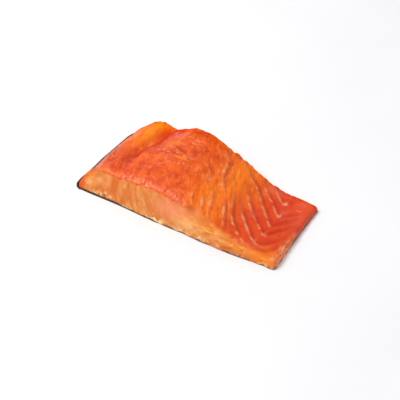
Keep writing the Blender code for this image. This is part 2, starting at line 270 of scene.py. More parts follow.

# Crumbs beside the rim, painted shade along the crease in the groove, and the dried surface, whose brown
# band by the back also carries painted shade
CRUMB_LESS_SPAN = (-36 * MM, -18 * MM)
CRUMB_LESS = 0.7
GROOVE_CREASE_PLACE = 1.5 * MM
GROOVE_CREASE_WIDTH = 1.8 * MM
GROOVE_CREASE_SPAN = (0.12, 0.3)
GROOVE_CREASE_TURN = 2 * MM
GROOVE_CREASE_TURN_SPAN = (0.4, 0.6)
GROOVE_CREASE_WAVER = (2 * MM, 9 * MM)
BACK_WAVER = (1.5 * MM, 5 * MM)
DRY_BACK_SPAN = (14 * MM, 6 * MM)
DRY_REAR_SPAN = (0.72, 0.92)
DRY_REAR_X_SPAN = (20 * MM, -20 * MM)
DRY_REAR_EDGE_SPAN = (0.9, 1)
# A brown band beside the back edge: smoke dried flesh, and painted shade over the back slope
DRIED_SHADED_BAND = 13.5 * MM
DRIED_SHADED_BAND_FADE = 6 * MM
DRIED_SHADED_BAND_LOSS = 8 * MM
DRIED_SHADED_BAND_LOSS_SPAN = (0.3, 0.7)
DRIED_SHADED_BAND_ENDS = (0, 0.05, 0.96, 0.99)

# The frayed foot of the cuts, the leathery top, and its band beside the belly end
LOW_HEIGHT = 2.2 * MM
FRAYED_SPAN = (-35 * MM, -20 * MM)
FRAYED_BACK_SPAN = (-76 * MM, -84 * MM)
UNDER_FAT_HEIGHT = 1.2 * MM
UNDER_FAT_SPAN = (-42 * MM, -58 * MM)
LEATHERY_LOSS = 0.9
LEATHERY_LOSS_SPAN = (15 * MM, 45 * MM)
BELLY_BAND_SPAN = (X_BELLY - 9 * MM, X_BELLY - 4 * MM)
BELLY_BAND_REAR_SPAN = (0.6, 0.35)

# Where the top is streaky and where it is wrinkled
STREAKS = (4 * MM, 24 * MM)
STREAK_SIZE = 12 * MM
STREAK_SPAN = (-0.1, 0.3)
STREAK_LEAST = 0.4
BACK_STREAKS = (-62 * MM, 18 * MM)
BACK_STREAK_SPAN = (0.5, 0.25)
BACK_STREAK_SHARE = 0.6
WRINKLES = (-32 * MM, 20 * MM)

# Patches of other colour on the front cut: kind, x, z, half width and half height in mm, strength
CUT_PATCHES = (
    ("pink", -2, 16, 17, 6.5, 0.8),
    ("deep", -61, 12, 4, 12, 0.8),
    ("deep", -74, 6, 8, 4, 0.4),
    ("deep", 50, 3, 10, 3, 0.3),
    ("light", 58, 7, 22, 7, 0.65),
    ("deep", 73, 4, 8, 4, 0.7),
    ("light", -82, 12, 7, 7, 0.4),
    ("light", 16, 12, 10, 6, 0.5),
    ("light", 35, 12, 8, 4, 0.6),
    ("light", 86, 4, 8, 4, 0.4),
    ("deep", 86, 4, 8, 4, 0.3),
    ("pale", 14, 9, 11, 4, 1.0),
    ("pale", -84, 10, 3, 2.5, 0.8),
    ("pale", -76, 14, 4, 2.5, 0.6),
    ("pale", -88, 5, 2, 1.6, 0.9),
    ("deep", -80, 9, 2, 5, 0.5),
    ("pale", 42, 8, 8, 3, 0.5),
    ("fat", -71, 2, 7, 3, 1.0),
    ("fat", -46, 1, 7, 1.6, 0.8),
    ("fat", -15, 2.2, 10, 3, 1.0),
    ("fat", 10, 2, 8, 2.6, 0.7),
    ("fat", 27, 3, 6, 2.2, 0.8),
    ("fat", 44, 2.4, 4, 2, 0.6),
    ("fat", -66, 3, 5, 2.4, 1.0),
    ("fat", -80, 2, 4, 2, 0.8),
    ("fat", 62, 1, 10, 1.4, 0.7),
    ("fat", 88, 0.8, 7, 1.4, 1.3),
)

# Patches of other colour on the top: kind, x, y, half width and half depth in mm, strength
TOP_PATCHES = (
    ("orange", -70, 20, 6, 13, 0.8),
    ("orange", -40, 17, 9, 5, 0.6),
    ("orange", -22, 3, 6, 2.5, 0.9),
    ("orange", 13, -20, 8, 15, 0.3),
    ("orange", 21, 14, 9, 12, 0.15),
    ("orange", -29, -24, 5, 3, 0.4),
    ("orange", 87, -37, 9, 5, 0.8),
    ("orange", 94, -20, 3, 14, 0.6),
    ("orange", 82, -44, 12, 3, 0.8),
    ("orange", 25, 33, 4, 5, 0.5),
    ("orange", 42, 20, 3, 5, 0.5),
    ("orange", 52, 11, 2.5, 5, 0.4),
    # Coral glints: painted highlights, pink streaks and flecks of light on the wrinkles of the hump
    ("coral", -40, 8, 10, 2, 1.0),
    ("coral", -25, 8, 8, 2, 0.9),
    ("coral", -25, -3, 9, 2, 0.8),
    ("coral", -24, 25, 6, 5, 0.8),
    ("coral", -52, 34, 4, 5, 0.9),
    ("coral", -79, -18, 5, 18, 0.6),
    ("coral", 10, 12, 3, 6, 0.2),
    ("coral", 9, 35, 3, 4, 0.6),
    ("coral", -24, -30, 4, 3, 0.6),
    ("coral", -29, -24, 6, 4, 0.8),
    ("coral", -3, -27, 4, 6, 0.5),
    ("coral", 18, 1, 2, 6, 0.8),
    ("coral", 78, 22, 2, 3, 0.8),
    ("fat", 64.5, 25, 1.6, 2.2, 1.0),
    ("fat", 69, 7.5, 1.2, 2.4, 0.8),
    ("fat", 71, -20, 1.2, 2.4, 0.5),
    ("fat", 69, -31, 1.2, 3, 0.3),
    # Pink sheen: painted sheen, light reflected between the folds of the belly
    ("blush", 76, 33, 6, 4, 0.5),
    ("blush", 50, 34, 8, 4, 0.8),
    ("blush", 90, 16, 10, 16, 0.4),
    ("blush", 70, 13, 3, 4, 0.6),
    ("blush", 51, -5, 3, 4, 0.6),
    # Dark: darker red spots, and painted shade along the crease of the groove
    ("dark", -64, -7, 2.2, 8, 0.9),
    ("dark", -79, -14, 4, 22, 0.4),
    ("dark", -57, 20, 3, 8, 0.9),
    ("dark", -26, 37, 6, 4, 0.6),
    ("dark", -30, 10.5, 8, 1.2, 0.7),
    ("dark", -30, -1, 6, 1.2, 0.5),
    ("dark", -21, -21, 4, 3, 0.3),
    ("dark", 7, -3, 3, 3, 0.6),
    ("dark", 16, -26, 3, 4, 0.25),
    ("dark", 68, -35, 4, 3, 0.35),
    ("dark", -28, 18, 4, 3, 0.35),
    ("dark", 11, 11, 2, 4, 0.3),
    ("dark", 13, -38, 5, 2.5, 0.8),
    ("dark", 1, -37, 3, 3, 0.6),
    ("dark", 80, -38, 9, 1.8, 0.5),
    ("dark", 56, -47.2, 10, 1.4, 1.0),
    ("dark", 76, -45.8, 7, 1.3, 1.0),
    ("dark", 3, 24, 2, 7, 0.4),
)

# Cells of the flesh and the skin, and the angle from which an edge is shaded sharp
TOP_CELL = 0.63 * MM
WALL_ROWS = 32
SKIN_CELL = 1 * MM
FLESH_EDGE = math.radians(60)
SKIN_EDGE = math.radians(50)

# The flesh laps over the rim of the skin, and the skin's front edge is ragged
RIM_COVER = 0.1 * MM
RIM_COVER_START = 0.88
RAGGED_EDGE = 0.7 * MM
RAGGED_SIZE = 6 * MM
RAGGED_SHARE = 0.5
RAGGED_START = -30 * MM

# The camera of the photograph: where it looks, from which side, how far, through which lens
LOOK_AT = Vector((-0.6 * MM, -3.88 * MM, 0))
VIEW_AZIMUTH = math.radians(33.5)
VIEW_ELEVATION = math.radians(40)
VIEW_DISTANCE = 1.11
LENS = 120
SENSOR = 36

# A broad window light to the left of the camera, and a pale room round it
WINDOW_PLACE = (-0.8, -0.4, 1.4)
WINDOW_SIZE = 0.8
WINDOW_POWER = 19
ROOM_LIGHT = 0.6
FLOOR_SIZE = 8

# Sockets of the Mix node by number, because several of them have the same name
FACTOR, VALUE_A, VALUE_B, COLOR_A, COLOR_B = 0, 2, 3, 6, 7
VALUE_OUT, COLOR_OUT = 0, 2


def smooth(low, high, value):
    """0 below low, 1 above high, an S curve between them."""
    t = np.clip((value - low) / (high - low), 0, 1)
    return t * t * (3 - 2 * t)


def between(places, value):
    """1 along a stretch, 0 outside it. Its places: start, full, still full, end."""
    return smooth(*places[:2], value) * (1 - smooth(*places[2:], value))


def bell(place, width, value):
    """1 at the place, falling to nothing a few widths away."""
    return np.exp(-((value - place) / width) ** 2)


def cloud(x, y, z, size):
    """Smooth unevenness between about -1 and 1, with lumps of the given size."""
    return np.array([noise.noise(p) for p in np.stack([x, y, z], axis=-1) / size])


def cloud_along(x, other, size):
    """The same unevenness, read along one line. The other number picks the line."""
    return cloud(x, 0 * x + other, 0 * x, size)


def waver(amount, size, x, y, z):
    """How far an uneven edge strays, at the most by about the amount."""
    return amount * cloud(x, y, z, size)


def through(column, x):
    """Smooth curve through one column of the sections."""
    places, heights = SECTIONS[:, 0], SECTIONS[:, column]
    slopes = np.gradient(heights, places)
    i = np.clip(np.searchsorted(places, x) - 1, 0, len(places) - 2)
    step = places[i + 1] - places[i]
    t = (x - places[i]) / step
    start = (2 * t ** 3 - 3 * t ** 2 + 1) * heights[i] + (t ** 3 - 2 * t ** 2 + t) * step * slopes[i]
    end = (3 * t ** 2 - 2 * t ** 3) * heights[i + 1] + (t ** 3 - t ** 2) * step * slopes[i + 1]
    return start + end


def belly_x(v):
    """Belly edge, nearer to the back edge at the rear cut. v runs from front cut to rear cut."""
    return X_BELLY - BELLY_TAPER * v - BELLY_HOLLOW * np.sin(np.pi * v)


def front_y(x):
    """Foot of the front cut."""
    set_back = BELLY_SET_BACK * smooth(SET_BACK_START, X_BELLY, x)
    bow = FRONT_BOW * bell(FRONT_BOW_X, FRONT_BOW_WIDTH, x)
    return Y_FRONT + set_back - bow + CUT_WAVE * np.sin(x / FRONT_WAVE_LENGTH)


def rear_y(x):
    """Foot of the rear cut."""
    share = (x - X_BACK) / WIDTH
    depth = BACK_DEPTH + (BELLY_DEPTH - BACK_DEPTH) * share
    return Y_FRONT + depth + CUT_WAVE * np.sin(x / REAR_WAVE_LENGTH)


def back_turn(x, v):
    """The back edge turns in near the rear cut and is a little hollow near the front cut."""
    corner = REAR_CORNER * smooth(REAR_CORNER_START, 1, v) ** 2
    hollow = BACK_BOW * bell(BACK_BOW_PLACE, BACK_BOW_WIDTH, v)
    return (corner + hollow) * (1 - smooth(X_BACK, X_BACK + BACK_REACH, x))


def corner_cut(x, v):
    """How far the corner between the front cut and the belly end is rounded off, in X and Y."""
    near_belly = smooth(belly_x(v) - BELLY_CORNER_REACH, belly_x(v), x)
    near_front = 1 - smooth(0, BELLY_CORNER_REACH / BELLY_DEPTH, v)
    share = near_belly * near_front
    return BELLY_CORNER[0] * share, BELLY_CORNER[1] * share


def lean(v):
    """Run back for each unit of height, from the front cut to the rear cut."""
    return FRONT_LEAN + (REAR_LEAN - FRONT_LEAN) * v


def roll_radius(v):
    """Outside radius of the skin's roll."""
    return ROLL_FRONT + (ROLL_REAR - ROLL_FRONT) * smooth(0, ROLL_GROWTH, v)


def roll_end(v):
    """Where the flesh leaves the roll and the top begins."""
    outer = roll_radius(v)
    return X_BACK + outer - (outer - FLESH_BOTTOM) * np.sin(ROLL_TURN)


def groove_place(v):
    """Distance of the groove from the roll."""
    return GROOVE_FRONT + GROOVE_SHIFT * v - GROOVE_BOW * np.sin(np.pi * v) ** GROOVE_ROUND


def rounded(points):
    """More points along a seam, on a smooth curve through its own."""
    own = np.array(points) * MM
    own = np.vstack([2 * own[0] - own[1], own, 2 * own[-1] - own[-2]])
    finer = []
    for before, here, after, beyond in zip(own, own[1:], own[2:], own[3:]):
        for t in np.arange(SEAM_STEPS) / SEAM_STEPS:
            bend = 2 * before - 5 * here + 4 * after - beyond
            twist = 3 * here - before - 3 * after + beyond
            finer.append(here + 0.5 * t * (after - before + t * (bend + t * twist)))
    return np.array(finer + [own[-2]])


def seam_rows(fat, hollow, *points):
    """Points along one seam with its fat and hollow, which fade at both ends. The fat line stops
    soon after the seam's turn, the point nearest to the front cut."""
    places = rounded(points)
    run = np.cumsum(np.hypot(*np.diff(places, axis=0, prepend=places[:1]).T))
    share = run / run[-1]
    shape = smooth(0, SEAM_ENDS[0], share) * smooth(0, SEAM_ENDS[1], 1 - share)
    past_turn = run - run[np.argmin(places[:, 1])]
    fat_line = fat * smooth(0, SEAM_ENDS[0], share) * smooth(FAT_END, 0, past_turn)
    fading = HOLLOW_AT_ENDS + (1 - HOLLOW_AT_ENDS) * shape
    return np.column_stack([places, fat_line, hollow * fading])


def seam_field(x, y):
    """Distance past the nearest seam (positive inside its arrowhead), its fat and its hollow."""
    x = x + waver(*SEAM_WANDER, x, y, 0 * x)
    y = y + waver(*SEAM_WANDER, y, x, 0 * x + 1)
    nearest = np.full(len(x), SEAM_REACH)
    past, fat, hollow = nearest.copy(), 0 * x, 0 * x
    for seam in SEAMS:
        rows = seam_rows(*seam)
        close = np.flatnonzero((x > rows[:, 0].min() - SEAM_REACH) & (x < rows[:, 0].max() + SEAM_REACH)
                               & (y > rows[:, 1].min() - SEAM_REACH) & (y < rows[:, 1].max() + SEAM_REACH))
        for start, end in zip(rows, rows[1:]):
            run = end - start
            from_x, from_y = x[close] - start[0], y[close] - start[1]
            share = np.clip((from_x * run[0] + from_y * run[1]) / (run[0] ** 2 + run[1] ** 2), 0, 1)
            off_x, off_y = from_x - share * run[0], from_y - share * run[1]
            distance = np.hypot(off_x, off_y)
            won = distance < nearest[close]
            on = close[won]
            nearest[on] = distance[won]
            past[on] = distance[won] * np.sign(run[0] * off_y - run[1] * off_x)[won]
            fat[on] = start[2] + share[won] * run[2]
            hollow[on] = start[3] + share[won] * run[3]
    return past, np.clip(fat, 0, 1), np.clip(hollow, 0, 1)


def seam_relief(x, y):
    """A fine raised line of fat with a hollow behind it."""
    past, fat, hollow = seam_field(x, y)
    rise = SEAM_RISE * fat * bell(SEAM_CREST, SEAM_WIDTH, past)
    return rise - HOLLOW_DEPTH * hollow * bell(HOLLOW_PLACE, HOLLOW_WIDTH, past)


def top_height(x, v):
    """Broad height of the top at x, between the front cut at v = 0 and the rear cut at v = 1."""
    run = x - roll_end(v)
    front, rear = through(1, run), through(2, run)
    arch = np.sin(np.pi * v)
    height = front + (rear - front) * smooth(0, 1, v)
    height += CROWN * arch * between(CROWN_RUN, run)
    aside = run - groove_place(v)
    groove = bell(0, GROOVE_WIDTH, aside) * (GROOVE_ENDS + (1 - GROOVE_ENDS) * arch)
    lobe = bell(-LOBE_OFFSET, LOBE_WIDTH, aside) * smooth(*LOBE_SPAN, v) * smooth(0, LOBE_START, run)
    height += LOBE_RISE * lobe - GROOVE_DEPTH * groove
    height += LOBE_CORNER_RISE * bell(*LOBE_CORNER, run) * smooth(*LOBE_CORNER_SPAN, v)
    depth = rear_y(x) - front_y(x)
    front_edge = np.clip(1 - v * depth / SHOULDER, 0, 1) ** 2
    rear_edge = np.clip(1 - (1 - v) * depth / SHOULDER, 0, 1) ** 2
    drop = FRONT_DROP * front_edge + REAR_DROP * rear_edge
    height -= drop * smooth(0, DROP_START, run) * height / DROP_HEIGHT
    return height - (BELLY_DROP + BELLY_DROP_REAR * v) * smooth(X_BELLY - BELLY_DROP_RUN, X_BELLY, x) ** 2


def along_grain(x, y):
    """Coordinates across and along the grain of the top, the second drawn out."""
    across = GRAIN_ACROSS[0] * x + GRAIN_ACROSS[1] * y
    return across, (GRAIN_ACROSS[0] * y - GRAIN_ACROSS[1] * x) / GRAIN_LENGTH


def creases(x, y):
    """1 in the fine wrinkles of the dried surface, 0 between them."""
    along = (x + CREASE_SLANT * y) / CREASE_LENGTH
    across = y - CREASE_SLANT * x
    bent = cloud(along, across, 0 * x + CREASE_SPACING, CREASE_SPACING) - CREASE_SHIFT
    broken = smooth(*CREASE_BREAKS, cloud(x, y, 0 * x + 1, CREASE_SPACING))
    return np.clip(1 - np.abs(bent) / CREASE_SHARPNESS, 0, 1) * broken * (1 - smooth(*CREASE_END, x))


def fine_relief(x, y, v, run):
    """What the surface of the top carries: seams, wrinkles, lumps and the crumbled front rim."""
    inside = smooth(0, FRONT_FADE, v) * smooth(0, REAR_FADE, 1 - v)
    inside *= 1 - smooth(BELLY_FADE, 1, (x - X_BACK) / WIDTH)
    across, along = along_grain(x, y)
    belly = smooth(*BELLY_LUMP_SPAN, x)
    lumps = -CREASE_DEPTH * creases(x, y)
    for size, rise, belly_share in LUMPS:
        lumps += rise * cloud(across, along, 0 * x + size, size) * (1 + (belly_share - 1) * belly)
    relief = inside * seam_relief(x, y) + lumps * smooth(0, LUMP_START, run)
    crumbs = sum(rise * cloud(x, y, 0 * x + size, size) for size, rise in RIM_CRUMBS)
    return relief + rim_share(x, v, RIM_DEPTH) * crumbs - rear_notches(x, v)


def rear_notches(x, v):
    """Small gaps in the rim over the rear cut, where flakes end."""
    size, depth = REAR_NOTCH
    torn = np.clip(REAR_NOTCH_SHARE + cloud_along(x, size, size), 0, 1)
    return depth * torn * between(REAR_NOTCH_STRETCH, x) * smooth(REAR_NOTCH_START, 1, v)


def fan(x, z):
    """Place across the flakes of the cut, the same all along one flake."""
    return x + FAN_SLOPE * smooth(FAN_START, FAN_END, x) * z


def cut_relief(x, z):
    """Unevenness of the front cut: steps of torn flakes, fibres and lumps of fat at its foot."""
    across = fan(x, z)
    relief = 0 * x
    for size, rise in CUT_STEPS:
        relief += rise * cloud(across, 0 * x + size, ALONG_FLAKES * z, size)
    size, rise = FOOT_LUMP
    lumps = np.clip(cloud(x, 0 * x + 1, UP_LUMPS * z, size), 0, 1)
    return relief + rise * lumps * (1 - smooth(0, size, z))


def rim_share(x, v, depth):
    """How crumbled the top is beside the front cut, down to nothing at the given depth."""
    stretch = between(RIM_STRETCH, x) + RIM_PATCH_SHARE * bell(*RIM_PATCH, x)
    return stretch * (1 - smooth(0, depth, v))


def sag_share(x):
    """Where the torn foot of the front cut hangs over the edge of the skin."""
    return smooth(*SAG_START, x) * smooth(*SAG_SPAN, cloud_along(x, 4, SAG_LUMP))


def flesh_point(s, v, w):
    """Place in the flesh: s from back to belly, v from front cut to rear cut, w from foot to top."""
    belly = belly_x(v) - SKIN_PROUD
    outer = roll_radius(v)
    inner = outer - FLESH_BOTTOM
    roll_x = X_BACK + outer
    roll_top_x = roll_end(v)
    start_z = top_height(roll_top_x, v)
    foot_x = roll_x + (belly - roll_x) * s
    top_x = roll_top_x + (belly - roll_top_x) * s
    top_z = top_height(top_x, v)
    top_y = front_y(top_x) + (rear_y(top_x) - front_y(top_x)) * v + lean(v) * top_z
    top_z = top_z + fine_relief(top_x, top_y, v, top_x - roll_top_x)
    x = foot_x + (top_x - foot_x) * w
    z = FLESH_BOTTOM + (top_z - FLESH_BOTTOM) * w
    near_roll = 1 - smooth(0, ROLL_BLEND, s)
    turn = ROLL_TURN * w
    inner = inner + RIM_COVER * smooth(RIM_COVER_START, 1, w)
    x -= near_roll * (inner * np.sin(turn) + (roll_top_x - roll_x) * w)
    z += near_roll * (outer - inner * np.cos(turn) - FLESH_BOTTOM - (start_z - FLESH_BOTTOM) * w)
    x -= BELLY_ROUND * ((w - BELLY_NOSE) / (1 - BELLY_NOSE)) ** 2 * smooth(BELLY_END, 1, s)
    front = front_y(x) + SKIN_PROUD
    rear = rear_y(x) - SKIN_PROUD
    y = front + (rear - front) * v + lean(v) * z
    near_front = (1 - v) ** BULGE_FALL
    off_edges = np.sin(np.pi * w) ** CUT_EDGES
    y -= FRONT_BULGE * np.sin(np.pi * w) * near_front
    y -= cut_relief(x, z) * off_edges * near_front
    sag = sag_share(x) * near_front
    end_sag = smooth(BELLY_END, 1, s)
    lip = smooth(0, 1 / WALL_ROWS, w) * (1 - smooth(1 / WALL_ROWS, SAG_ROWS / WALL_ROWS, w))
    lowest_row = w < 0.5 / WALL_ROWS
    out = SAG_OUT * np.maximum(lip, SAG_FOOT * lowest_row)
    size, rise = BELLY_END_LUMPS
    x += (out + rise * cloud(0 * x, y, z, size) * off_edges) * end_sag
    y -= out * sag
    z -= (z - SAG_LOWEST) * np.maximum(sag, end_sag) * lip
    off_x, off_y = corner_cut(x, v)
    return x + back_turn(x, v) - off_x, y + off_y, z


def skin_point(q, v, flat_share):
    """Place on the outside of the skin: q from the belly edge to the rim of the roll."""
    flat = np.clip(q / flat_share, 0, 1)
    rolled = np.clip((q - flat_share) / (1 - flat_share), 0, 1)
    wave = (1 + np.sin(RIM_WAVES * v + RIM_WAVE_START)) / 2
    drop = RIM_DROP * wave + RIM_REAR_DROP * smooth(*RIM_REAR, v)
    turn = rolled * (ROLL_TURN - drop)
    outer = roll_radius(v)
    flared = outer + RIM_FLARE * between(RIM_FLARE_STRETCH, v) * smooth(RIM_FLARE_START, 1, rolled)
    x = belly_x(v) + (X_BACK + outer - belly_x(v)) * flat - flared * np.sin(turn)
    z = outer - flared * np.cos(turn)
    y = front_y(x) + (rear_y(x) - front_y(x)) * v + lean(v) * z
    y -= SKIN_TIP * np.sin(turn) * (1 - v) ** TIP_FALL
    ragged = (RAGGED_SHARE + cloud_along(x, 2, RAGGED_SIZE)) * smooth(RAGGED_START, 0, x)
    y += RAGGED_EDGE * np.clip(ragged, 0, 1) * (1 - v) ** BULGE_FALL
    off_x, off_y = corner_cut(x, v)
    return x + back_turn(x, v) - off_x, y + off_y, z


def hex_color(text):
    """sRGB hex to the linear colour that Blender's sockets take."""
    channels = [int(text[i:i + 2], 16) / 255 for i in (1, 3, 5)]
    linear = [c / 12.92 if c <= 0.04045 else ((c + 0.055) / 1.055) ** 2.4 for c in channels]
    return (*linear, 1)


def add_node(tree, kind, inputs, **settings):
    """One node with its settings. Each input is a value or another node's output."""
    node = tree.nodes.new(kind)
    for name, value in settings.items():
        setattr(node, name, value)
    for name, value in inputs.items():
        if isinstance(value, bpy.types.NodeSocket):
            tree.links.new(value, node.inputs[name])
        else:
            node.inputs[name].default_value = value
    return node.outputs


def new_material(name, values):
    """Material with a Principled shader, its node tree, that shader and its object coordinates."""
    material = bpy.data.materials.new(name)
    material.use_nodes = True
    tree = material.node_tree
    shader = tree.nodes["Principled BSDF"]
    for key, value in values.items():
        shader.inputs[key].default_value = value
    return material, tree, shader, add_node(tree, 'ShaderNodeTexCoord', {})["Object"]


def noted(tree, names):
    """The numbers kept on the piece's points, by the names in the table."""
    found = {}
    for attribute, channels in names.items():
        kept = add_node(tree, 'ShaderNodeAttribute', {}, attribute_name=attribute)["Vector"]
        found.update(zip(channels, add_node(tree, 'ShaderNodeSeparateXYZ', {"Vector": kept})))
    return found


def patterns(tree, table, vectors):
    """Uneven patterns between 0 and 1, by the names in the table."""
    found = {}
    for name, (vector, size, detail, start, full) in table.items():
        clouds = add_node(tree, 'ShaderNodeTexNoise', {
            "Vector": vectors[vector], "Scale": 1 / MM / size, "Detail": detail})["Fac"]
        found[name] = add_node(
            tree, 'ShaderNodeMapRange', {"Value": clouds, "From Min": start, "From Max": full},
            interpolation_type='SMOOTHSTEP')["Result"]
    return found


def paint(tree, color, layers, masks):
    """Tints laid over a colour, each at its strength where all of its masks are."""
    for tint, strength, *names in layers:
        share = strength
        for name in names:
            share = add_node(tree, 'ShaderNodeMath', {0: share, 1: masks[name]}, operation='MULTIPLY')[0]
        color = add_node(tree, 'ShaderNodeMix', {FACTOR: share, COLOR_A: color, COLOR_B: hex_color(tint)},
                         data_type='RGBA')[COLOR_OUT]
    return color


# What the flesh keeps on its points for its material, three numbers under each name
FLESH_NOTES = {
    # hollow and crease are painted shade in the seams' hollows and the fine wrinkles
    "seam": ("line", "hollow", "crease"),
    "tone": ("warm", "deep", "slope"),
    "cut": ("wall", "flank", "rear edge"),
    "fold": ("rim", "beside the rim", "groove crease shade"),
    # the second number is the dried brown edge, partly painted shade on the back slope
    "back": ("dry", "dried and shaded edge", "belly band"),
    "foot": ("low", "under fat", "fat patch"),
    "face": ("pink patch", "deep patch", "light patch"),
    "surface": ("leathery", "streaky", "wrinkly"),
    # the third number here is painted sheen between the folds of the belly
    "bright": ("pale patch", "fat spot", "blush spot"),
    # the coral spots are painted highlights; the dark spots are darker red, partly painted shade in the
    # groove's crease
    "spots": ("orange spot", "coral spot", "dark spot"),
}

# Ways in which a pattern is drawn out: the coordinates, the turn about Y and the scale
FLESH_STRETCHES = {
    "strand": ("grain", 0, (1, 0.35, 1)),
    "wrinkle": ("place", 0, (0.4, 1, 1)),
    "slant": ("place", -0.35, (0.4, 0.4, 1.3)),
}

# Patterns of the flesh: the coordinates or the stretch, size in mm, detail, where each starts and is full
FLESH_PATTERNS = {
    "broad": ("place", 13, 2, 0.38, 0.62),
    "shaded": ("grain", 8, 2, 0.46, 0.3),
    "streaked": ("grain", 6, 2, 0.54, 0.7),
    "glinting": ("grain", 2.4, 2, 0.6, 0.7),
    "here and there": ("place", 15, 2, 0.48, 0.62),
    "broken line": ("place", 7, 3, 0.36, 0.56),
    "dusky": ("place", 8, 2, 0.4, 0.6),
    "crumb": ("place", 2, 2, 0.54, 0.62),
    "dark crumb": ("place", 3, 2, 0.45, 0.37),
    "light wrinkle": ("wrinkle", 2.4, 2, 0.54, 0.66),
    "dark wrinkle": ("wrinkle", 3, 2, 0.45, 0.35),
    "dark strand": ("strand", 2.6, 2, 0.46, 0.34),
    "light strand": ("strand", 2.2, 2, 0.56, 0.68),
    "bright stretch": ("place", 12, 2, 0.48, 0.6),
    "mottled": ("place", 5, 2, 0.4, 0.62),
    "torn": ("place", 4, 2, 0.54, 0.64),
    "crumbly": ("place", 3, 2, 0.42, 0.55),
    "shred": ("slant", 2.8, 3, 0.52, 0.62),
    "dark shred": ("slant", 3.4, 3, 0.46, 0.36),
    "flake": ("fibre", 9, 3, 0.38, 0.62),
    "fibre": ("fibre", 3, 3, 0.52, 0.3),
    "seam of flakes": ("fibre", 5, 2, 0.58, 0.64),
}

# Top: red orange, warmer on the lobe and the slope, deeper in the groove and on the belly
TOP_LAYERS = (
    ("#EA5E16", 1.0, "broad"),
    ("#FF860E", 1.0, "warm"),
    ("#FC7A08", 0.9, "slope"),
    ("#D4350F", 1.0, "deep"),
    ("#BE2A08", 0.5, "shaded", "leathery"),
    ("#FF7E3C", 0.5, "streaked", "leathery"),
    ("#FF8E68", 0.4, "glinting", "here and there", "leathery"),
    ("#FF8C14", 0.8, "orange spot"),
    ("#C03A14", 0.45, "dark wrinkle", "wrinkly"),
    ("#FF8A60", 0.35, "light wrinkle", "wrinkly"),
    # painted highlights: coral glints over the light wrinkles
    ("#FF9C80", 0.9, "coral spot", "light wrinkle"),
    # darker red spots, partly painted shade in the crease of the groove
    ("#A82820", 0.75, "dark spot"),
    ("#BC3810", 0.45, "dark strand", "streaky"),
    ("#FF9460", 0.5, "light strand", "streaky"),
    ("#E2500C", 0.5, "dark strand", "slope"),
    ("#FFA850", 0.45, "light strand", "slope"),
    # painted shade in the fine wrinkles of the dried surface
    ("#B82A0A", 0.4, "crease"),
    # painted shade in the hollows behind the seams
    ("#B82408", 0.75, "hollow"),
    ("#FF9A5C", 0.75, "line", "broken line"),
    ("#FFC08A", 0.8, "line", "broken line", "bright stretch"),
    ("#FFB08C", 0.9, "fat spot"),
    ("#7A2A12", 0.8, "rear edge", "dusky"),
    ("#F8703C", 0.4, "beside the rim"),
    ("#BE341C", 0.6, "beside the rim", "dark crumb"),
    ("#FFA070", 0.9, "rim", "crumb"),
    # painted shade along the crease of the groove
    ("#A82A1C", 0.8, "groove crease shade", "broken line"),
    ("#F58250", 0.7, "belly band"),
    ("#FFB478", 0.7, "belly band", "shred"),
    ("#B83C14", 0.6, "belly band", "dark shred"),
    # smoke dried brown edge by the back, which also carries painted shade on the back slope
    ("#823620", 0.85, "dried and shaded edge"),
    ("#6A2A1A", 0.5, "dried and shaded edge", "shaded"),
    ("#C4561E", 0.6, "dried and shaded edge", "mottled"),
    # painted sheen between the folds of the belly
    ("#EE7258", 0.6, "blush spot"),
)

# Cuts: paler orange, with flakes and fibres, patches and fat at the foot
CUT_LAYERS = (
    ("#F09C56", 1.0, "flake"),
    ("#D2742C", 0.5, "mottled"),
    ("#D26A24", 0.45, "fibre"),
    ("#CE661E", 0.35, "seam of flakes"),
    ("#F8946A", 1.0, "pink patch"),
    ("#DC6A22", 1.0, "deep patch"),
    ("#FF9434", 1.0, "light patch"),
    ("#F6B474", 0.9, "pale patch"),
    ("#FF8410", 0.8, "orange spot"),
    ("#FFC070", 0.9, "light patch", "shred"),
    ("#BE5618", 0.9, "light patch", "dark shred"),
    ("#A8401A", 0.8, "low", "torn"),
    ("#FFDA9C", 1.0, "fat patch", "crumbly"),
    ("#9A4420", 0.6, "fat patch", "torn"),
    ("#6E4A38", 0.8, "under fat"),
    ("#DE6030", 0.9, "flank"),
    # darker red spots, partly painted shade in the crease of the groove
    ("#B8400E", 0.8, "dark spot"),
    # smoke dried brown edge by the back, which also carries painted shade
    ("#823620", 0.85, "dried and shaded edge"),
    ("#6A2A1A", 0.5, "dried and shaded edge", "shaded"),
    ("#C4561E", 0.6, "dried and shaded edge", "mottled"),
)

# Size in mm of the wrinkles of the dried surface, of the fibres of the cuts and of the skin's scales
WRINKLE_SIZE = 2.4
THREAD_SIZE = 1.6
SCALE_SIZE = 2.4

# Skin: patterns as above, where its grey of the belly starts and is full, and its tints
SKIN_PATTERNS = {
    "blotch": ("place", 14, 4, 0.45, 0.7),
    "burnt": ("place", 9, 3, 0.5, 0.62),
    "purplish": ("place", 6, 3, 0.48, 0.58),
}
SKIN_GREY_START = X_BACK + 15 * MM
SKIN_GREY_FULL = X_BELLY - 30 * MM
SKIN_LAYERS = (
    ("#857A6A", 1.0, "grey"),
    ("#744A40", 0.6, "purplish"),
    ("#6A4A32", 1.0, "blotch"),
    ("#7A2A14", 0.3, "burnt"),
    ("#241A12", 0.4, "pocket edge"),
)


